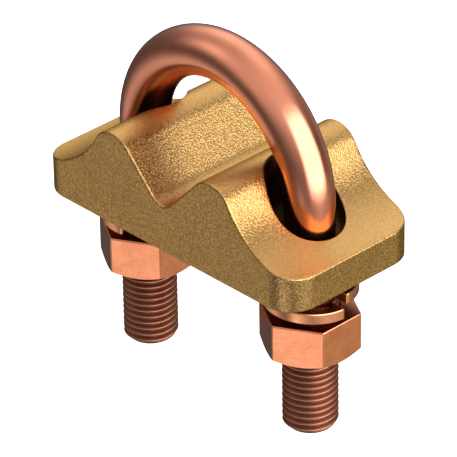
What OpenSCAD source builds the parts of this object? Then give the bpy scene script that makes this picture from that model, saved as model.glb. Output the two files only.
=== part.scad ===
// U-bolt earth clamp. A cast saddle with a V groove is drawn towards the bow of
// a bent copper-alloy rod by a nut on each threaded leg. An earth rod is gripped
// between the groove and the bow. The clamp stands on its two leg ends: the
// origin is midway between them, +X along the saddle, +Y along the groove, +Z up.

/* [U-bolt] */
// Distance between the axes of the two legs
leg_spacing = 41.2; // [40.6:0.1:42]
// Diameter of the plain bent rod
rod_d = 9.1; // [8.6:0.1:9.4]
// Major diameter of the thread on the legs
thread_d = 10; // [9.6:0.1:10]
// Length of each leg below the saddle
leg_below = 32.8; // [26:0.1:40]
// How far the thread runs up into the saddle
thread_above = 2; // [0.5:0.1:4]
// Height of the centre of the bend above the saddle's underside
bend_height = 11.8; // [11:0.1:14]
// Height of the chamfer on each leg end, which is as wide as it is high
leg_chamfer = 0.9; // [0.3:0.1:1.5]

/* [Saddle] */
// Length along the row of legs
saddle_l = 63.5; // [60:0.1:66]
// Width along the groove
saddle_w = 30.9; // [26:0.1:36]
// Radius of the upright corners
corner_r = 5.8; // [2:0.1:7]
// Thickness at the thin ends
end_h = 6.5; // [5:0.1:8]
// Height of the two crests above the underside
crest_h = 18.55; // [17.5:0.05:19]
// Distance of each crest from the middle
crest_x = 12.25; // [11.8:0.05:12.6]
// Radius over each crest
crest_r = 5; // [4:0.1:5.4]
// Radius of the hollow from each crest down to the end
hollow_r = 18.6; // [16:0.1:20]
// Slope of the groove's sides in degrees
groove_slope = 47.2; // [43:0.1:50]
// Radius at the bottom of the groove
groove_r = 3.25; // [2:0.05:4]
// Diameter of the two leg holes
hole_d = 13.7; // [13:0.1:14.5]
// Distance between the axes of the two leg holes
hole_spacing = 39; // [38:0.1:41]

/* [Spring washers] */
// Outside diameter
washer_d = 17.2; // [16:0.1:18.4]
// Inside diameter
washer_hole_d = 10.3; // [10.2:0.1:11]
// Thickness of the square-edged strip
washer_h = 2.2; // [1.6:0.1:2.5]
// Height that the strip climbs in one turn
washer_rise = 2.65; // [2:0.05:3.2]
// Depth of the highest point below the saddle
washer_drop = 2.95; // [0.5:0.05:3.2]
// Width of the split in degrees
split_angle = 3; // [1:1:8]
// Direction of the left washer's split, in degrees from +X
split_left = -74; // [-180:1:180]
// Direction of the right washer's split, in degrees from +X
split_right = 2; // [-180:1:180]

/* [Nuts] */
// Width across the flats
nut_af = 16; // [15:0.1:18]
// Height
nut_h = 8; // [6:0.1:10]
// Depth of the nut's upper face below the saddle
nut_drop = 8.9; // [8.8:0.1:12]
// Diameter across the chamfer circle on the outer face
nut_face_d = 15.2; // [13:0.1:15.2]
// Slope of the chamfer in degrees
nut_chamfer_slope = 30; // [20:1:35]
// Radial clearance between the nut and the thread
thread_gap = 0.05; // [0.02:0.01:0.1]
// Depth of the countersink at each end of the nut's bore
nut_sink = 0.6; // [0.2:0.1:1]

/* [Hidden] */

smooth = 128;
over = 1;
bronze = [0.72, 0.56, 0.30];
copper = [0.78, 0.45, 0.33];
nut_copper = [0.88, 0.55, 0.40];

leg_x = leg_spacing / 2;
saddle_z = leg_below;
bend_z = saddle_z + bend_height;
washer_z = saddle_z - washer_drop - washer_h - washer_rise;
nut_z = saddle_z - nut_drop - nut_h;

// Saddle profile, seen along the groove, with the underside at 0.
crest_z = crest_h - crest_r;
// The hollow's circle touches the crest's circle and is level at its own lowest point.
hollow_z = end_h + hollow_r;
hollow_x = crest_x + sqrt(pow(crest_r + hollow_r, 2) - pow(hollow_z - crest_z, 2));
crest_share = crest_r / (crest_r + hollow_r);
outer_touch = [
    crest_x + (hollow_x - crest_x) * crest_share,
    crest_z + (hollow_z - crest_z) * crest_share
];
end_z = hollow_z - sqrt(pow(hollow_r, 2) - pow(hollow_x - saddle_l / 2, 2));
// The groove's sides touch the crest's circle and the circle at the groove's bottom.
inner_touch = [
    crest_x - crest_r * sin(groove_slope),
    crest_z + crest_r * cos(groove_slope)
];
groove_z = inner_touch[1] - inner_touch[0] * tan(groove_slope) + groove_r / cos(groove_slope);
groove_touch = [groove_r * sin(groove_slope), groove_z - groove_r * cos(groove_slope)];

// Spring washer strip: rings of four corners, from the low end round to the high end.
washer_steps = 60;
washer_turn = 360 - split_angle;
washer_low_r = washer_hole_d / 2;
washer_high_r = washer_d / 2;
function strip_corners(i) =
    let (turn = -i * washer_turn / washer_steps, z = washer_rise * i / washer_steps)
    [for (c = [[0, 0], [1, 0], [1, 1], [0, 1]])
        let (r = c[0] == 0 ? washer_low_r : washer_high_r)
        [r * cos(turn), r * sin(turn), z + c[1] * washer_h]];
function strip_side(i, k) =
    let (a = 4 * i + k, b = 4 * i + (k + 1) % 4)
    [[a, b, b + 4], [a, b + 4, a + 4]];

module half_profile() {
    difference() {
        polygon([
            [0, 0],
            [saddle_l / 2, 0],
            [saddle_l / 2, end_z],
            outer_touch,
            [crest_x, crest_z],
            inner_touch,
            groove_touch,
            [0, groove_touch[1]]
        ]);
        translate([hollow_x, hollow_z]) circle(r = hollow_r, $fn = smooth);
        translate([0, groove_z]) circle(r = groove_r, $fn = smooth);
    }
    translate([crest_x, crest_z]) circle(r = crest_r, $fn = smooth);
}

module rounded_block(l, w, h, r) {
    translate([-l / 2 + r, -w / 2, 0]) cube([l - 2 * r, w, h]);
    translate([-l / 2, -w / 2 + r, 0]) cube([l, w - 2 * r, h]);
    for (x = [-1, 1], y = [-1, 1])
        translate([x * (l / 2 - r), y * (w / 2 - r), 0]) cylinder(r = r, h = h, $fn = smooth);
}

module saddle() {
    color(bronze)
    translate([0, 0, saddle_z])
    difference() {
        intersection() {
            rotate([90, 0, 0])
            linear_extrude(height = saddle_w + 2 * over, center = true)
            union() {
                half_profile();
                mirror([1, 0]) half_profile();
            }
            rounded_block(saddle_l, saddle_w, crest_h + over, corner_r);
        }
        for (x = [-1, 1])
            translate([x * hole_spacing / 2, 0, -over])
            cylinder(d = hole_d, h = crest_h + 3 * over, $fn = smooth);
    }
}

module leg() {
    thread_top = saddle_z + thread_above;
    cylinder(d1 = thread_d - 2 * leg_chamfer, d2 = thread_d, h = leg_chamfer, $fn = smooth);
    translate([0, 0, leg_chamfer])
    cylinder(d = thread_d, h = thread_top - leg_chamfer, $fn = smooth);
    translate([0, 0, thread_top])
    cylinder(d = rod_d, h = bend_z - thread_top, $fn = smooth);
}

module u_bolt() {
    color(copper)
    union() {
        for (x = [-1, 1]) translate([x * leg_x, 0, 0]) leg();
        translate([0, 0, bend_z])
        rotate([90, 0, 0])
        rotate_extrude(angle = 180, $fn = smooth)
        translate([leg_x, 0]) circle(d = rod_d, $fn = smooth);
    }
}

module nut() {
    corner_rise = (nut_af / cos(30) - nut_face_d) / 2 * tan(nut_chamfer_slope);
    sink_r = thread_d / 2 + thread_gap + nut_sink;
    difference() {
        intersection() {
            rotate([0, 0, 30]) cylinder(d = nut_af / cos(30), h = nut_h, $fn = 6);
            union() {
                cylinder(
                    d1 = nut_face_d,
                    d2 = nut_face_d + 2 * 2 * corner_rise / tan(nut_chamfer_slope),
                    h = 2 * corner_rise,
                    $fn = smooth
                );
                translate([0, 0, 2 * corner_rise]) cylinder(d = 2 * nut_af, h = nut_h, $fn = smooth);
            }
        }
        translate([0, 0, -over])
        cylinder(r = thread_d / 2 + thread_gap, h = nut_h + 2 * over, $fn = smooth);
        cylinder(r1 = sink_r, r2 = sink_r - nut_sink, h = nut_sink, $fn = smooth);
        translate([0, 0, nut_h - nut_sink])
        cylinder(r1 = sink_r - nut_sink, r2 = sink_r, h = nut_sink, $fn = smooth);
    }
}

module spring_washer() {
    polyhedron(
        points = [for (i = [0 : washer_steps]) each strip_corners(i)],
        faces = [
            [0, 3, 2], [0, 2, 1],
            for (i = [0 : washer_steps - 1], k = [0 : 3]) each strip_side(i, k),
            [4 * washer_steps, 4 * washer_steps + 1, 4 * washer_steps + 2],
            [4 * washer_steps, 4 * washer_steps + 2, 4 * washer_steps + 3]
        ],
        convexity = 4
    );
}

module spring_washer_left() {
    color(copper)
    translate([-leg_x, 0, washer_z]) rotate([0, 0, split_left - split_angle / 2]) spring_washer();
}

module spring_washer_right() {
    color(copper)
    translate([leg_x, 0, washer_z]) rotate([0, 0, split_right - split_angle / 2]) spring_washer();
}

module nut_left() {
    color(nut_copper) translate([-leg_x, 0, nut_z]) nut();
}

module nut_right() {
    color(nut_copper) translate([leg_x, 0, nut_z]) nut();
}

u_bolt();
saddle();
spring_washer_left();
spring_washer_right();
nut_left();
nut_right();
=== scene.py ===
"""Looks of a U-bolt earth rod clamp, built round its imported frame.

The clamp has a cast bronze saddle with a V groove, a bent rod with a rolled thread on
each leg, two split spring washers and two hexagon nuts. Shapes are worked out in
millimetres and turned into metres when a mesh is made.
"""

import math

import bpy
import numpy as np
from mathutils import Matrix, Vector
from mathutils.geometry import delaunay_2d_cdt


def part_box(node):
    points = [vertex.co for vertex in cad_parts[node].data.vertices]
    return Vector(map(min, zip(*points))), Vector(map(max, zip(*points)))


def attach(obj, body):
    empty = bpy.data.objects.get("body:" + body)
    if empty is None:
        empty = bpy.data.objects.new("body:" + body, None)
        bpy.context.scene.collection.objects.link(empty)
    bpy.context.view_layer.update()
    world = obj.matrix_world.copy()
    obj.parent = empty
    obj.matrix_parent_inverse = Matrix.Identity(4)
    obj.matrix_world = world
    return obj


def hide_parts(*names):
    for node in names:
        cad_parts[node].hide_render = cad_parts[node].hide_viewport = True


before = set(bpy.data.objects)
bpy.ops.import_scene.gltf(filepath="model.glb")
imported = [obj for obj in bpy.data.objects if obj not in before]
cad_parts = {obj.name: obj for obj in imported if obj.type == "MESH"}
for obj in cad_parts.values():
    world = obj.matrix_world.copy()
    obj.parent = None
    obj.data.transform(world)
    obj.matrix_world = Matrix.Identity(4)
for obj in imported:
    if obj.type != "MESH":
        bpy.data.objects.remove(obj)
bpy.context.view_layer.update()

MM = 0.001
TAU = 2 * math.pi


def box_mm(node):
    """Lowest and highest corner of a CAD node, in millimetres."""
    low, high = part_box(node)
    return np.array(low) / MM, np.array(high) / MM


# ---------------------------------------------------------------- sizes, in millimetres

PITCH = 1.25
ROD_R = 4.55
THREAD_R = 5.0
THREAD_DEPTH = 0.6134 * PITCH
# Shares of the pitch, counted from the crest, at which the thread's outline has its points.
THREAD_SHARES = [0.0, 0.0625, 0.24, 0.4, 0.46, 0.54, 0.6, 0.76, 0.9375]
CREST_SHARE = 0.0625
ROOT_SHARE = 0.4167
CREST_DIP = 0.015
LEG_CHAMFER = 0.9
THREAD_ABOVE = 2.0
THREAD_RUN_OUT = 1.6 * PITCH

SADDLE_LOW, SADDLE_HIGH = box_mm("saddle")
SADDLE_L, SADDLE_W, CREST_H = SADDLE_HIGH - SADDLE_LOW
SADDLE_Z = SADDLE_LOW[2]
CORNER_R = 5.8
END_H = 6.5
CREST_X = 12.25
CREST_R = 5.0
HOLLOW_R = 18.6
GROOVE_SLOPE = math.radians(47.2)
GROOVE_R = 3.25
HOLE_R = 6.85
HOLE_X = 19.5

BOLT_LOW, BOLT_HIGH = box_mm("u_bolt")
LEG_X = BOLT_HIGH[0] - THREAD_R
BEND_Z = BOLT_HIGH[2] - ROD_R - LEG_X

SPLIT_ANGLE = math.radians(3)
SPLIT_LEFT = math.radians(-74)
SPLIT_RIGHT = math.radians(2)
WASHER_H = 2.2
WASHER_HOLE_R = 5.15
WASHER_EDGE_R = 0.28
WASHER_END_R = 0.35

NUT_FACE_R = 7.6
NUT_CHAMFER = math.radians(30)
NUT_CORNER_R = 0.35
NUT_EDGE_R = 0.22
NUT_SINK = 0.6
THREAD_GAP = 0.05


# ---------------------------------------------------------------- mesh helpers

def make_piece(name, points, faces, body, slot, *nodes):
    """A smooth mesh from points in millimetres, riding on a body in place of its CAD nodes."""
    mesh = bpy.data.meshes.new(name)
    mesh.from_pydata([tuple(p) for p in np.asarray(points) * MM], [], faces)
    mesh.validate()
    mesh.shade_smooth()
    piece = bpy.data.objects.new(name, mesh)
    bpy.context.scene.collection.objects.link(piece)
    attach(piece, body)
    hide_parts(*nodes)
    return piece


def quarter_round(radius):
    """Steps over a rounded edge: (inwards from the side face, down from the end face)."""
    steps = 4
    angles = [math.pi / 2 * k / steps for k in range(steps + 1)]
    return [(radius * (1 - math.cos(a)), radius * (1 - math.sin(a))) for a in angles]


def sharpen(piece, degrees):
    """Keeps edges steeper than this angle crisp, and lets big flat faces set the shading."""
    piece.data.set_sharp_from_angle(angle=math.radians(degrees))
    weighted = piece.modifiers.new("flat_shading", "WEIGHTED_NORMAL")
    weighted.keep_sharp = True
    weighted.weight = 100


class Builder:
    """Collects points and faces, and joins rings and grids of point numbers."""

    def __init__(self):
        self.points = []
        self.faces = []

    def add(self, points):
        """Adds points and returns their numbers."""
        first = len(self.points)
        self.points.extend([float(x) for x in p] for p in points)
        return list(range(first, len(self.points)))

    def band(self, lower, upper, flip=False):
        """Quads between two closed rings of the same length."""
        count = len(lower)
        for i in range(count):
            j = (i + 1) % count
            self.face([lower[i], lower[j], upper[j], upper[i]], flip)

    def face(self, corners, flip=False):
        """One face, without the corners that repeat. Nothing is made of fewer than three."""
        kept = [c for i, c in enumerate(corners) if c != corners[i - 1]]
        if len(set(kept)) == len(kept) > 2:
            self.faces.append(kept[::-1] if flip else kept)


# ---------------------------------------------------------------- saddle

CREST_Z = CREST_H - CREST_R
HOLLOW_Z = END_H + HOLLOW_R
HOLLOW_X = CREST_X + math.sqrt((CREST_R + HOLLOW_R) ** 2 - (HOLLOW_Z - CREST_Z) ** 2)
OUTER_TOUCH_X = CREST_X + (HOLLOW_X - CREST_X) * CREST_R / (CREST_R + HOLLOW_R)
INNER_TOUCH_X = CREST_X - CREST_R * math.sin(GROOVE_SLOPE)
INNER_TOUCH_Z = CREST_Z + CREST_R * math.cos(GROOVE_SLOPE)
GROOVE_TOUCH_X = GROOVE_R * math.sin(GROOVE_SLOPE)
GROOVE_Z = (
    INNER_TOUCH_Z
    - INNER_TOUCH_X * math.tan(GROOVE_SLOPE)
    + GROOVE_R / math.cos(GROOVE_SLOPE)
)


def top_of_saddle(x):
    """(height over the underside, slope) of the saddle's upper face at x, as arrays."""
    side = np.abs(x)
    conditions = [side < GROOVE_TOUCH_X, side < INNER_TOUCH_X, side < OUTER_TOUCH_X]

    def arc(radius, offset):
        return np.sqrt(np.maximum(radius**2 - offset**2, 1e-9))

    groove = arc(GROOVE_R, side)
    crest = arc(CREST_R, side - CREST_X)
    hollow = arc(HOLLOW_R, side - HOLLOW_X)
    flank = math.tan(GROOVE_SLOPE)
    heights = [
        GROOVE_Z - groove,
        INNER_TOUCH_Z + flank * (side - INNER_TOUCH_X),
        CREST_Z + crest,
    ]
    slopes = [side / groove, flank + 0 * side, (CREST_X - side) / crest]
    height = np.select(conditions, heights, HOLLOW_Z - hollow)
    slope = np.select(conditions, slopes, (side - HOLLOW_X) / hollow)
    return height, slope * np.sign(x)


def top_normal(x):
    """Upward unit normals of the upper face at x."""
    slope = top_of_saddle(x)[1]
    length = np.sqrt(1 + slope**2)
    return np.stack([-slope / length, 0 * slope, 1 / length], 1)


def outline_loop(step):
    """(points, outward normals) round the saddle's plan, anticlockwise."""
    points, normals = [], []
    half_l, half_w = SADDLE_L / 2 - CORNER_R, SADDLE_W / 2 - CORNER_R
    corners = [(half_l, -half_w), (half_l, half_w), (-half_l, half_w), (-half_l, -half_w)]
    straights = [2 * half_w, 2 * half_l, 2 * half_w, 2 * half_l]
    for k, ((cx, cy), straight) in enumerate(zip(corners, straights)):
        start = (k - 1) * TAU / 4
        turns = max(4, round(CORNER_R * TAU / 4 / step))
        for i in range(turns):
            a = start + TAU / 4 * i / turns
            normal = (math.cos(a), math.sin(a))
            points.append((cx + CORNER_R * normal[0], cy + CORNER_R * normal[1]))
            normals.append(normal)
        a = start + TAU / 4
        normal = (math.cos(a), math.sin(a))
        along = (-normal[1], normal[0])
        count = round(straight / step)
        for i in range(count):
            t = straight * i / count
            points.append(
                (
                    cx + CORNER_R * normal[0] + along[0] * t,
                    cy + CORNER_R * normal[1] + along[1] * t,
                )
            )
            normals.append(normal)
    return np.array(points), np.array(normals)


def hole_loop(centre_x, step):
    """(points, normals out of the metal) round a leg hole, anticlockwise."""
    count = round(TAU * HOLE_R / step)
    a = np.arange(count) * TAU / count
    out = np.stack([np.cos(a), np.sin(a)], 1)
    return out * HOLE_R + [centre_x, 0], -out


def rounded_edge(points, normals, radius, steps, upper):
    """Rings of a rolling-ball rounding where a wall meets the upper face or the underside.

    The first ring lies on the face and the last one on the wall.
    """
    centre = points - radius * normals
    x = centre[:, 0].copy()
    if upper:
        # Where the ball touches the curved face, found by repeated correction.
        for _ in range(12):
            x = centre[:, 0] + radius * top_normal(x)[:, 0]
        face_normal = top_normal(x)
        z = top_of_saddle(x)[0]
    else:
        face_normal = np.tile([0.0, 0.0, -1.0], (len(x), 1))
        z = 0 * x
    touch = np.stack([x, centre[:, 1], z], 1)
    middle = touch - radius * face_normal
    wall_normal = np.column_stack([normals, 0 * x])
    angle = np.arccos(np.clip((face_normal * wall_normal).sum(1), -1, 1))[:, None]
    rings = []
    for k in range(steps + 1):
        t = k / steps
        direction = np.sin((1 - t) * angle) * face_normal + np.sin(t * angle) * wall_normal
        rings.append(middle + radius * direction / np.sin(angle))
    return rings


def inside(points, loop):
    """Which points lie inside a closed loop, by counting crossings."""
    x, y = points[:, 0][:, None], points[:, 1][:, None]
    ax, ay = loop[:, 0][None], loop[:, 1][None]
    bx, by = np.roll(loop[:, 0], -1)[None], np.roll(loop[:, 1], -1)[None]
    crosses = (ay > y) != (by > y)
    at = ax + (y - ay) * (bx - ax) / np.where(by == ay, 1e-12, by - ay)
    return (np.sum(crosses & (x < at), 1) % 2) == 1


def fill_between(outer, holes, spacing):
    """Triangles between a loop and its holes: (extra points, triangles over all points).

    The loops' points come first, in order, and then the extra ones.
    """
    loops = [outer, *holes]
    low, high = outer.min(0), outer.max(0)
    columns = np.arange(low[0] + spacing / 2, high[0], spacing)
    rows = np.arange(low[1] + spacing / 2, high[1], spacing * math.sqrt(3) / 2)
    grid = np.array(
        [(x + spacing / 2 * (j % 2), y) for j, y in enumerate(rows) for x in columns]
    )
    keep = inside(grid, outer)
    for hole in holes:
        keep &= ~inside(grid, hole)
    grid = grid[keep]
    border = np.concatenate(loops)
    near = np.array([np.min(np.sum((border - p) ** 2, 1)) for p in grid])
    grid = grid[near > (0.6 * spacing) ** 2]
    edges, first = [], 0
    for loop in loops:
        count = len(loop)
        edges += [(first + i, first + (i + 1) % count) for i in range(count)]
        first += count
    points = np.concatenate([border, grid])
    made = delaunay_2d_cdt([Vector(p) for p in points], edges, [], 0, 1e-6)
    if len(made[0]) != len(points):
        raise RuntimeError("the saddle's loops cross")
    triangles = np.array(made[2])
    centres = points[triangles].mean(1)
    keep = inside(centres, outer)
    for hole in holes:
        keep &= ~inside(centres, hole)
    return grid, triangles[keep]


def saddle_piece():
    """Cast saddle: two crests with a groove between, two leg holes, rounded edges all round."""
    step = 0.36
    under_step = 1.2
    outline_r, hole_r, under_r = 0.32, 0.3, 0.25
    steps = 5
    wall_rows = 34
    build = Builder()
    loops = [outline_loop(step), hole_loop(-HOLE_X, step), hole_loop(HOLE_X, step)]
    upper_rings, lower_rings = [], []
    for k, (points, normals) in enumerate(loops):
        radius = hole_r if k else outline_r
        upper = rounded_edge(points, normals, radius, steps, upper=True)
        lower = rounded_edge(points, normals, under_r, steps, upper=False)
        top_of_wall, foot_of_wall = upper[-1], lower[-1]
        wall = [
            top_of_wall + (foot_of_wall - top_of_wall) * i / wall_rows
            for i in range(1, wall_rows)
        ]
        rings = [build.add(r) for r in [*upper, *wall, *lower[::-1]]]
        for above, below in zip(rings, rings[1:]):
            build.band(below, above, flip=k > 0)
        upper_rings.append((rings[0], upper[0]))
        lower_rings.append((rings[-1], lower[0]))
    surfaces = ((upper_rings, step, True), (lower_rings, under_step, False))
    for rings, spacing, is_top in surfaces:
        plans = [ring[:, :2] for _, ring in rings]
        extra, triangles = fill_between(plans[0], plans[1:], spacing)
        height = top_of_saddle(extra[:, 0])[0] if is_top else np.zeros(len(extra))
        numbers = [n for ring, _ in rings for n in ring]
        numbers += build.add(np.column_stack([extra, height]))
        for a, b, c in triangles:
            build.face([numbers[a], numbers[b], numbers[c]], flip=not is_top)
    points = np.array(build.points) + [0, 0, SADDLE_Z]
    return make_piece("saddle_casting", points, build.faces, "saddle", "cast_bronze", "saddle")


# ---------------------------------------------------------------- threads

def thread_radius(share, grow=0.0):
    """Radius of a 60 degree thread's outline at a share of the pitch, crest at 0."""
    from_crest = min(share, 1 - share)
    if from_crest <= CREST_SHARE:
        depth = CREST_DIP * (from_crest / CREST_SHARE)
    elif from_crest >= ROOT_SHARE:
        depth = THREAD_DEPTH
    else:
        down_flank = (from_crest - CREST_SHARE) / (ROOT_SHARE - CREST_SHARE)
        depth = CREST_DIP + (THREAD_DEPTH - CREST_DIP) * down_flank
    return THREAD_R + grow - depth


def threaded_wall(build, low_ring, high_ring, z_low, z_high, radius_at, centre, flip=False):
    """A right-hand helical wall between two flat rings of points that are already there.

    radius_at(share, z) gives its radius. Rows of points follow the helix, so the
    thread's crest and root are true edges.
    """
    count = len(low_ring)
    per_turn = len(THREAD_SHARES)
    first = math.floor(z_low / PITCH) - 1
    last = math.ceil(z_high / PITCH) + 1
    # Points this close to an end ring, or past it, become the ring's own points.
    margin = 0.04
    numbers = {}
    for row in range((first - 1) * per_turn, (last + 1) * per_turn):
        turn, k = divmod(row, per_turn)
        for i in range(count):
            a = TAU * i / count
            z = PITCH * (turn + THREAD_SHARES[k] + i / count)
            if z <= z_low + margin:
                numbers[i, row] = low_ring[i]
            elif z >= z_high - margin:
                numbers[i, row] = high_ring[i]
            else:
                r = radius_at(THREAD_SHARES[k], z)
                point = [centre[0] + r * math.cos(a), centre[1] + r * math.sin(a), z]
                numbers[i, row] = build.add([point])[0]
    for row in range((first - 1) * per_turn, last * per_turn):
        for i in range(count):
            if i + 1 < count:
                right, right_up = numbers[i + 1, row], numbers[i + 1, row + 1]
            else:
                right = numbers.get((0, row + per_turn), high_ring[0])
                right_up = numbers.get((0, row + per_turn + 1), high_ring[0])
            build.face([numbers[i, row], right, right_up, numbers[i, row + 1]], flip)


def ring_points(count, r, z, centre=(0.0, 0.0)):
    """A level ring of points round a vertical axis."""
    a = np.arange(count) * TAU / count
    return np.column_stack([centre[0] + r * np.cos(a), centre[1] + r * np.sin(a), z + 0 * a])


# ---------------------------------------------------------------- U-bolt

def u_bolt_piece():
    """Bent round rod with a rolled thread and a chamfered end on each leg."""
    count = 80
    bend_steps = 120
    thread_top = SADDLE_Z + THREAD_ABOVE
    end_r = THREAD_R - LEG_CHAMFER
    build = Builder()

    def leg_radius(share, z):
        fade = min(1.0, (thread_top - z) / THREAD_RUN_OUT)
        cut = ROD_R + (thread_radius(share) - ROD_R) * fade
        return min(cut, end_r + z)

    tops = {}
    for side in (-1, 1):
        centre = (side * LEG_X, 0.0)
        low = build.add(ring_points(count, end_r, 0.0, centre))
        high = build.add(ring_points(count, ROD_R, thread_top, centre))
        threaded_wall(build, low, high, 0.0, thread_top, leg_radius, centre)
        inner = build.add(ring_points(count, end_r * 0.55, 0.0, centre))
        build.band(inner, low)
        tip = build.add([[centre[0], centre[1], 0.0]])[0]
        for i in range(count):
            build.face([tip, inner[(i + 1) % count], inner[i]])
        tops[side] = high

    # Up the right leg, over the bend and down the left leg: (turn of the bend, height).
    straight = [thread_top + (BEND_Z - thread_top) * t for t in (0.25, 0.5, 0.75, 1.0)]
    stations = [(0.0, z) for z in straight]
    stations += [(math.pi * i / bend_steps, BEND_Z) for i in range(1, bend_steps)]
    stations += [(math.pi, z) for z in straight[::-1]]
    around = np.arange(count) * TAU / count
    reach, depth = LEG_X + ROD_R * np.cos(around), ROD_R * np.sin(around)
    previous = tops[1]
    for turn, z in stations:
        points = np.column_stack([reach * math.cos(turn), depth, z + reach * math.sin(turn)])
        ring = build.add(points)
        build.band(previous, ring)
        previous = ring
    # The left leg's ring runs the other way round, so it is turned to match the bend's rings.
    left = tops[-1]
    matched = [left[(count // 2 - i) % count] for i in range(count)]
    build.band(previous, matched)
    return make_piece("bent_rod", build.points, build.faces, "u_bolt", "rod_copper", "u_bolt")


# ---------------------------------------------------------------- nuts

def hexagon_loop(apothem, corner_r, side_steps, corner_steps):
    """(points, outward normals) of a hexagon with rounded corners, flats towards +X and -X."""
    points, normals = [], []
    inner = (apothem - corner_r) / math.cos(math.pi / 6)
    for k in range(6):
        a = math.radians(30 + 60 * k)
        corner = np.array([math.cos(a), math.sin(a)]) * inner
        following = np.array([math.cos(a + math.pi / 3), math.sin(a + math.pi / 3)]) * inner
        for i in range(corner_steps):
            b = a - math.pi / 6 + math.pi / 3 * i / corner_steps
            normal = np.array([math.cos(b), math.sin(b)])
            points.append(corner + corner_r * normal)
            normals.append(normal)
        normal = np.array([math.cos(a + math.pi / 6), math.sin(a + math.pi / 6)])
        for i in range(side_steps):
            points.append(corner + (following - corner) * i / side_steps + corner_r * normal)
            normals.append(normal)
    return np.array(points), np.array(normals)


def nut_piece(name, node, side):
    """Hexagon nut: flat upper face, chamfered outer face, threaded bore."""
    low, high = box_mm(node)
    height = high[2] - low[2]
    apothem = (high[0] - low[0]) / 2
    centre = np.array([side * LEG_X, 0.0])
    bottom = low[2]
    plan, normals = hexagon_loop(apothem, NUT_CORNER_R, 10, 4)
    # The loop starts half a corner below +30 degrees, so it is turned to start nearest +X.
    start = int(np.argmin(np.abs(np.arctan2(plan[:, 1], plan[:, 0]))))
    plan, normals = np.roll(plan, -start, 0), np.roll(normals, -start, 0)
    count = len(plan)
    reach = np.hypot(plan[:, 0], plan[:, 1])
    slope = math.tan(NUT_CHAMFER)
    build = Builder()

    def ring(xy, z):
        return build.add(np.column_stack([xy + centre, z + bottom + 0 * xy[:, 0]]))

    towards = plan / reach[:, None]
    face_edge = ring(towards * NUT_FACE_R, np.zeros(count))
    rings = [face_edge]
    for t in (0.35, 0.7):
        r = NUT_FACE_R + (reach - NUT_FACE_R) * t
        rings.append(ring(towards * r[:, None], (r - NUT_FACE_R) * slope))
    chamfer_top = (reach - NUT_FACE_R) * slope
    rings.append(ring(plan, chamfer_top))
    for t in (0.03, 0.25, 0.5, 0.75, 0.97):
        rings.append(ring(plan, chamfer_top + (height - NUT_EDGE_R - chamfer_top) * t))
    for inwards, down in quarter_round(NUT_EDGE_R):
        rings.append(ring(plan - normals * inwards, height - down))
    for lower, upper in zip(rings, rings[1:]):
        build.band(lower, upper)

    bore_r = THREAD_R + THREAD_GAP
    mouth_r = bore_r + NUT_SINK
    bore = {}
    for level, outer, flip in ((0.0, face_edge, True), (height, rings[-1], False)):
        mid = ring_points(count, (NUT_FACE_R + mouth_r) / 2, bottom + level, centre)
        mouth = ring_points(count, mouth_r, bottom + level, centre)
        mid_ring, mouth_ring = build.add(mid), build.add(mouth)
        build.band(outer, mid_ring, flip)
        build.band(mid_ring, mouth_ring, flip)
        bore[level] = mouth_ring

    def bore_radius(share, z):
        from_end = min(z - bottom, bottom + height - z)
        return max(thread_radius(share, THREAD_GAP), mouth_r - from_end)

    threaded_wall(
        build, bore[0.0], bore[height], bottom, bottom + height, bore_radius, centre, flip=True
    )
    piece = make_piece(name, build.points, build.faces, node, "nut_copper", node)
    sharpen(piece, 25)
    return piece


# ---------------------------------------------------------------- spring washers

def washer_piece(name, node, side, split):
    """Split ring of rounded strip that climbs in a left-hand helix, with softened ends."""
    low, high = box_mm(node)
    rise = high[2] - low[2] - WASHER_H
    outer_r = (high[0] - low[0]) / 2
    corner_steps = 4
    turns = 150
    middle_r, middle_z = (WASHER_HOLE_R + outer_r) / 2, WASHER_H / 2
    half = (outer_r - WASHER_HOLE_R) / 2, WASHER_H / 2

    def section(inset):
        """Rounded rectangle across the strip, (outwards, up), shrunk by an inset."""
        points = []
        radius = max(WASHER_EDGE_R - inset, 0.05)
        for k, (sx, sy) in enumerate(((1, -1), (1, 1), (-1, 1), (-1, -1))):
            for i in range(corner_steps + 1):
                a = -math.pi / 2 + math.pi / 2 * (k + i / corner_steps)
                points.append(
                    (
                        sx * (half[0] - inset - radius) + radius * math.cos(a),
                        sy * (half[1] - inset - radius) + radius * math.sin(a),
                    )
                )
        return points

    # Along the strip from its low end: (turn, inset of the section).
    total = TAU - SPLIT_ANGLE
    end_turn = WASHER_END_R / middle_r
    low_end = [(inwards / middle_r, inset) for inwards, inset in quarter_round(WASHER_END_R)]
    body_turn = total - 2 * end_turn
    body = [(end_turn + body_turn * i / turns, 0.0) for i in range(1, turns)]
    high_end = [(total - t, inset) for t, inset in low_end[::-1]]
    build = Builder()
    rings = []
    for turn, inset in [*low_end, *body, *high_end]:
        angle = split - SPLIT_ANGLE / 2 - turn
        climb = rise * turn / total
        points = []
        for out, up in section(inset):
            r = middle_r + out
            points.append(
                [
                    side * LEG_X + r * math.cos(angle),
                    r * math.sin(angle),
                    low[2] + middle_z + climb + up,
                ]
            )
        rings.append(build.add(points))
    for before, after in zip(rings, rings[1:]):
        build.band(before, after)
    for ring, flip in ((rings[0], False), (rings[-1], True)):
        centre = np.mean([build.points[n] for n in ring], 0)
        hub = build.add([centre])[0]
        for i in range(len(ring)):
            build.face([hub, ring[(i + 1) % len(ring)], ring[i]], flip)
    piece = make_piece(name, build.points, build.faces, node, "washer_copper", node)
    sharpen(piece, 50)
    return piece


# ---------------------------------------------------------------- materials

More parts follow.
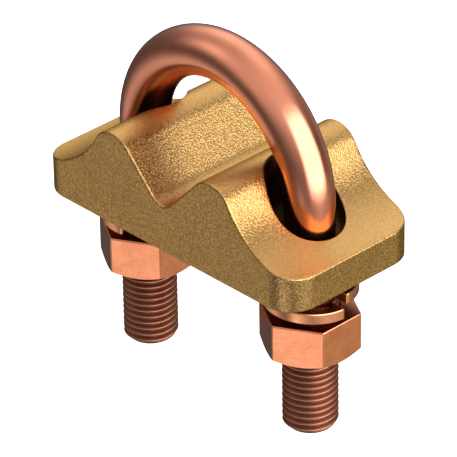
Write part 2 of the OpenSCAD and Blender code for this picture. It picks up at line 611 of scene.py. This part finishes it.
class Nodes:
    """Adds nodes to one tree. Each method returns the output of the node it adds."""

    def __init__(self, tree):
        self.tree = tree

    def new(self, kind):
        return self.tree.nodes.new(kind)

    def link(self, source, target):
        self.tree.links.new(source, target)

    def math(self, operation, *values):
        """An operation on numbers or sockets."""
        node = self.new("ShaderNodeMath")
        node.operation = operation
        for socket, value in zip(node.inputs, values):
            if isinstance(value, (int, float)):
                socket.default_value = value
            else:
                self.link(value, socket)
        return node.outputs["Value"]

    def remap(self, value, low, high, to_low=0.0, to_high=1.0):
        """Eases from to_low to to_high as a value goes from low to high."""
        node = self.new("ShaderNodeMapRange")
        node.interpolation_type = "SMOOTHSTEP"
        node.inputs["From Min"].default_value = low
        node.inputs["From Max"].default_value = high
        node.inputs["To Min"].default_value = to_low
        node.inputs["To Max"].default_value = to_high
        self.link(value, node.inputs["Value"])
        return node.outputs["Result"]


class Surface(Nodes):
    """A metal built node by node on one shader, with grain given in millimetres."""

    def __init__(self, name, rim=(1.0, 1.0, 1.0)):
        self.mat = bpy.data.materials.new(name)
        self.mat.use_nodes = True
        super().__init__(self.mat.node_tree)
        self.shader = self.tree.nodes["Principled BSDF"]
        self.shader.inputs["Metallic"].default_value = 1.0
        self.shader.inputs["Specular Tint"].default_value = (*rim, 1)
        self.where = self.new("ShaderNodeTexCoord").outputs["Object"]
        self.axes = self.split(self.where)
        self.normal = None

    def split(self, vector):
        """The X, Y and Z of a vector, by name."""
        node = self.new("ShaderNodeSeparateXYZ")
        self.link(vector, node.inputs["Vector"])
        return node.outputs

    def stretched(self, sx, sy, sz):
        """Object coordinates scaled along each axis. A scale below 1 draws a pattern out."""
        node = self.new("ShaderNodeMapping")
        node.inputs["Scale"].default_value = (sx, sy, sz)
        self.link(self.where, node.inputs["Vector"])
        return node.outputs["Vector"]

    def noise(self, size_mm, detail=2.0, roughness=0.5, where=None):
        """Smooth noise whose blobs are about this many millimetres across."""
        node = self.new("ShaderNodeTexNoise")
        node.inputs["Scale"].default_value = 1 / (size_mm * MM)
        node.inputs["Detail"].default_value = detail
        node.inputs["Roughness"].default_value = roughness
        self.link(where or self.where, node.inputs["Vector"])
        return node.outputs["Fac"]

    def grains(self, size_mm):
        """Distance from the middle of the nearest of many scattered grains."""
        node = self.new("ShaderNodeTexVoronoi")
        node.inputs["Scale"].default_value = 1 / (size_mm * MM)
        self.link(self.where, node.inputs["Vector"])
        return node.outputs["Distance"]

    def from_axis(self, x_mm):
        """Distance from the nearer of the two upright axes this far to each side."""
        across = self.math("SUBTRACT", self.math("ABSOLUTE", self.axes["X"]), x_mm * MM)
        across, along = self.math("POWER", across, 2.0), self.math("POWER", self.axes["Y"], 2.0)
        return self.math("SQRT", self.math("ADD", across, along))

    def facing_up(self, low, high):
        """Eases from 0 to 1 as the surface turns from upright to level, top side up."""
        facing = self.new("ShaderNodeNewGeometry").outputs["Normal"]
        return self.remap(self.split(facing)["Z"], low, high)

    def between(self, factor, a, b):
        """Two values mixed by a factor."""
        node = self.new("ShaderNodeMix")
        for name, value in (("Factor", factor), ("A", a), ("B", b)):
            self.link(value, node.inputs[name])
        return node.outputs["Result"]

    def blend(self, factor, a, b):
        """Two colours mixed by a factor. Either may be a colour or a socket."""
        node = self.new("ShaderNodeMix")
        node.data_type = "RGBA"
        self.link(factor, node.inputs["Factor"])
        sockets = [s for s in node.inputs if s.type == "RGBA"]
        for socket, value in zip(sockets, (a, b)):
            if isinstance(value, tuple):
                socket.default_value = (*value, 1)
            else:
                self.link(value, socket)
        return next(s for s in node.outputs if s.type == "RGBA")

    def bump(self, height, depth_mm):
        """Adds relief of this depth over what is there already. Below 0 it is pressed in."""
        node = self.new("ShaderNodeBump")
        node.invert = depth_mm < 0
        node.inputs["Distance"].default_value = abs(depth_mm) * MM
        self.link(height, node.inputs["Height"])
        if self.normal is not None:
            self.link(self.normal, node.inputs["Normal"])
        self.normal = node.outputs["Normal"]
        self.link(self.normal, self.shader.inputs["Normal"])

    def color(self, value):
        self.link(value, self.shader.inputs["Base Color"])

    def roughness(self, value):
        self.link(value, self.shader.inputs["Roughness"])


def cast_bronze():
    """Sand-cast bronze: close grain, smoother on level top faces, with painted shade on the
    walls of its two leg holes.
    """
    s = Surface("cast_bronze", rim=(1.0, 0.82, 0.52))
    grain = s.grains(0.36)
    fine = s.noise(0.3, detail=1.0)
    patches = s.noise(9.0, detail=3.0, roughness=0.55)
    skin = s.blend(s.remap(patches, 0.35, 0.65), (0.59, 0.35, 0.13), (0.65, 0.39, 0.15))
    top = s.facing_up(0.72, 0.98)
    seam = s.blend(top, (0.38, 0.217, 0.073), (0.52, 0.307, 0.11))
    skin = s.blend(s.remap(grain, 0.25, 0.65), skin, seam)
    # Painted shade: the walls of the leg holes are coloured near black, where shade falls inside
    # them.
    cast = s.remap(s.from_axis(HOLE_X), (HOLE_R + 0.05) * MM, (HOLE_R + 0.4) * MM)
    s.color(s.blend(cast, (0.10, 0.055, 0.02), skin))
    side_gloss = s.remap(fine, 0.3, 0.7, 0.23, 0.33)
    top_gloss = s.remap(fine, 0.3, 0.7, 0.34, 0.42)
    s.roughness(s.between(top, side_gloss, top_gloss))
    s.bump(s.noise(2.2, detail=1.5), 0.02)
    s.bump(grain, -0.031)
    s.bump(fine, 0.028)
    return s.mat


def rod_copper():
    """Drawn copper-coloured rod, satin. Its thread is rougher, coloured dark below the saddle as
    painted shade, with a painted highlight on its crests.
    """
    s = Surface("rod_copper")
    # Painted highlight: the thread's crests get a light colour, for the glints along them.
    crest = s.remap(s.from_axis(LEG_X), (THREAD_R - 0.04) * MM, (THREAD_R - 0.005) * MM)
    plain = s.remap(s.axes["Z"], (SADDLE_Z - 3) * MM, (SADDLE_Z + 1) * MM)
    clouds = s.noise(7.0, detail=3.0, roughness=0.5)
    fine = s.noise(0.25, detail=2.0, roughness=0.6)
    bright = s.blend(s.remap(clouds, 0.3, 0.7), (0.72, 0.265, 0.155), (0.78, 0.295, 0.18))
    # Painted shade: the thread below the saddle is coloured dark brown, standing in for the
    # shade it gets there.
    painted_shade = s.blend(s.remap(fine, 0.3, 0.7), (0.18, 0.058, 0.031), (0.23, 0.077, 0.042))
    thread = s.blend(crest, painted_shade, (0.58, 0.31, 0.22))
    s.color(s.blend(plain, thread, bright))
    satin = s.remap(clouds, 0.3, 0.7, 0.17, 0.22)
    rough = s.remap(fine, 0.3, 0.7, 0.42, 0.52)
    s.roughness(s.between(plain, rough, satin))
    s.bump(fine, 0.001)
    s.bump(s.noise(3.0, detail=2.0), 0.004)
    return s.mat


def machined_copper(name, line_mm, pale, low_gloss, high_gloss):
    """Bright copper-coloured metal with faint level marks, coloured dark on its upper face as
    painted shade from the part above it.
    """
    s = Surface(name)
    clouds = s.noise(2.6, detail=3.0, roughness=0.6)
    lines = s.noise(line_mm, detail=3.0, roughness=0.7, where=s.stretched(0.06, 0.06, 1.0))
    fine = s.noise(0.2, detail=2.0)
    red, green, blue = pale
    clouded = (red * 0.82, green * 0.8, blue * 0.74)
    marked = (red * 0.86, green * 0.82, blue * 0.78)
    # Painted shade: the upper face, under the washer or saddle above it, is coloured dark.
    painted_shade = (red * 0.3, green * 0.26, blue * 0.24)
    tone = s.blend(s.remap(clouds, 0.3, 0.7), clouded, pale)
    tone = s.blend(s.remap(lines, 0.28, 0.5), marked, tone)
    s.color(s.blend(s.facing_up(0.9, 0.99), tone, painted_shade))
    s.roughness(s.remap(fine, 0.3, 0.7, low_gloss, high_gloss))
    s.bump(lines, 0.006)
    s.bump(clouds, 0.01)
    return s.mat


# ---------------------------------------------------------------- stage, lights, camera

# Directions are degrees from +X towards +Y, then degrees up.
SOFTBOX = {"around": 2, "up": 16, "half_width": 40, "half_height": 31, "strength": 3.8}
# Smaller soft lamps and reflectors: around, up, spread in degrees, strength.
LAMPS = [
    (-60, 55, 28, 0.50),
    (80, 68, 18, 0.35),
    (108, 52, 17, 0.60),
    (138, 31, 16, 1.05),
    (175, 30, 22, 0.10),
    (-100, 20, 14, 0.45),
    (-139, 34, 12, 0.90),
    (3, -27, 24, 0.66),
    (-77, -35, 7, 0.78),
    (-70, -44, 12, 1.00),
    (-141, -36, 14, 0.72),
    (20, 64, 16, 0.22),
    (110, 20, 15, 0.15),
    (-60, 15, 15, 0.30),
    (90, -10, 15, 0.25),
]
# A low reflector of a warm colour.
WARM_LAMP = (47, -31, 15, 0.27)
WARM = (1.0, 0.96, 0.42)
WHITE = (1.0, 1.0, 1.0)
# Strength of the dim room all round, and what its ceiling adds.
ROOM = 0.09
CEILING = 0.40


class Sky(Nodes):
    """Adds up the light that comes from each direction of the world."""

    def __init__(self, world):
        super().__init__(world.node_tree)
        self.direction = self.new("ShaderNodeTexCoord").outputs["Generated"]

    def along(self, vector):
        """How far the direction runs along a unit vector."""
        node = self.new("ShaderNodeVectorMath")
        node.operation = "DOT_PRODUCT"
        node.inputs[1].default_value = vector
        self.link(self.direction, node.inputs[0])
        return node.outputs["Value"]

    def lamp(self, around, up, spread, strength, total):
        """A round lamp that fades from its middle, added to a total."""
        sharp = 1 / math.radians(spread) ** 2
        fall = self.math("MULTIPLY_ADD", self.along(pointing(around, up)), sharp, -sharp)
        return self.math("MULTIPLY_ADD", self.math("EXPONENT", fall), strength, total)

    def softbox(self, around, up, half_width, half_height, strength, total):
        """A big flat rectangular lamp with soft edges, added to a total."""
        soft = 0.2
        middle = pointing(around, up)
        across = pointing(around + 90, 0)
        upright = middle.cross(across)
        depth = self.math("MAXIMUM", self.along(middle), 0.01)
        light = self.math("GREATER_THAN", self.along(middle), 0.05)
        for axis, half in ((across, half_width), (upright, half_height)):
            reach = math.tan(math.radians(half))
            offset = self.math("ABSOLUTE", self.math("DIVIDE", self.along(axis), depth))
            light = self.math("MULTIPLY", light, self.remap(offset, reach + soft, reach - soft))
        return self.math("MULTIPLY_ADD", light, strength, total)

    def background(self, strength, color):
        """Light of one colour, as strong as a number or a socket says."""
        node = self.new("ShaderNodeBackground")
        node.inputs["Color"].default_value = (*color, 1)
        if isinstance(strength, float):
            node.inputs["Strength"].default_value = strength
        else:
            self.link(strength, node.inputs["Strength"])
        return node.outputs["Background"]


def pointing(around, up):
    """Unit vector for a direction in degrees."""
    a, e = math.radians(around), math.radians(up)
    return Vector((math.cos(e) * math.cos(a), math.cos(e) * math.sin(a), math.sin(e)))


def studio():
    """A dim room with soft lamps round the clamp, and plain white to the camera."""
    world = bpy.data.worlds.new("studio")
    bpy.context.scene.world = world
    world.use_nodes = True
    world.node_tree.nodes.remove(world.node_tree.nodes["Background"])
    sky = Sky(world)
    overhead = sky.remap(sky.along((0, 0, 1)), 0.1, 0.9)
    total = sky.math("MULTIPLY_ADD", overhead, CEILING, ROOM)
    total = sky.softbox(*SOFTBOX.values(), total)
    for lamp in LAMPS:
        total = sky.lamp(*lamp, total)
    lit = sky.new("ShaderNodeAddShader")
    sky.link(sky.background(total, WHITE), lit.inputs[0])
    sky.link(sky.background(sky.lamp(*WARM_LAMP, 0.0), WARM), lit.inputs[1])
    seen = sky.new("ShaderNodeMixShader")
    sky.link(sky.new("ShaderNodeLightPath").outputs["Is Camera Ray"], seen.inputs["Fac"])
    sky.link(lit.outputs["Shader"], seen.inputs[1])
    sky.link(sky.background(1.0, WHITE), seen.inputs[2])
    sky.link(seen.outputs["Shader"], sky.tree.nodes["World Output"].inputs["Surface"])


def floor():
    """A plain white floor. The metal doesn't mirror it, so the lamps alone shape the gloss."""
    half = 3.0
    corners = [(-half, -half, 0), (half, -half, 0), (half, half, 0), (-half, half, 0)]
    mesh = bpy.data.meshes.new("floor")
    mesh.from_pydata(corners, [], [(0, 1, 2, 3)])
    piece = bpy.data.objects.new("floor", mesh)
    bpy.context.scene.collection.objects.link(piece)
    mat = bpy.data.materials.new("white_floor")
    mat.use_nodes = True
    shader = mat.node_tree.nodes["Principled BSDF"]
    shader.inputs["Base Color"].default_value = (0.9, 0.9, 0.9, 1)
    shader.inputs["Roughness"].default_value = 1.0
    shader.inputs["Specular IOR Level"].default_value = 0.0
    shader.inputs["Emission Color"].default_value = (*WHITE, 1)
    shader.inputs["Emission Strength"].default_value = 0.85
    mesh.materials.append(mat)
    piece.visible_glossy = False
    piece.visible_diffuse = False


def camera():
    """A camera that sees the clamp from above its front right corner, as the photograph does."""
    turn, roll = math.radians(46.65), math.radians(-0.99)
    elevation = 31.24
    distance = 0.7279
    aim_right, aim_up = 0.00029, -0.00173
    back = pointing(math.degrees(turn) - 90, elevation)
    level = Vector((math.cos(turn), math.sin(turn), 0))
    upright = back.cross(level)
    right = level * math.cos(roll) + upright * math.sin(roll)
    up = upright * math.cos(roll) - level * math.sin(roll)
    centre = Vector((0, 0, SADDLE_Z * MM))
    data = bpy.data.cameras.new("camera")
    data.sensor_width = 36
    data.lens = 326.9
    data.clip_start, data.clip_end = 0.05, 10
    data.dof.use_dof = False
    cam = bpy.data.objects.new("camera", data)
    place = centre + right * aim_right + up * aim_up + back * distance
    turned = Matrix((right, up, back)).transposed()
    cam.matrix_world = Matrix.LocRotScale(place, turned, None)
    bpy.context.scene.collection.objects.link(cam)
    bpy.context.scene.camera = cam


# ---------------------------------------------------------------- the whole scene

bpy.context.scene.view_settings.view_transform = "Standard"
camera()
floor()
studio()
nut_copper = machined_copper("nut_copper", 0.35, (0.92, 0.34, 0.175), 0.16, 0.24)
washer_copper = machined_copper("washer_copper", 0.25, (0.97, 0.41, 0.21), 0.20, 0.28)
saddle_piece().data.materials.append(cast_bronze())
u_bolt_piece().data.materials.append(rod_copper())
for side, place, split in ((-1, "left", SPLIT_LEFT), (1, "right", SPLIT_RIGHT)):
    nut = nut_piece(f"nut_{place}_hex", f"nut_{place}", side)
    nut.data.materials.append(nut_copper)
    washer = washer_piece(f"spring_washer_{place}_ring", f"spring_washer_{place}", side, split)
    washer.data.materials.append(washer_copper)
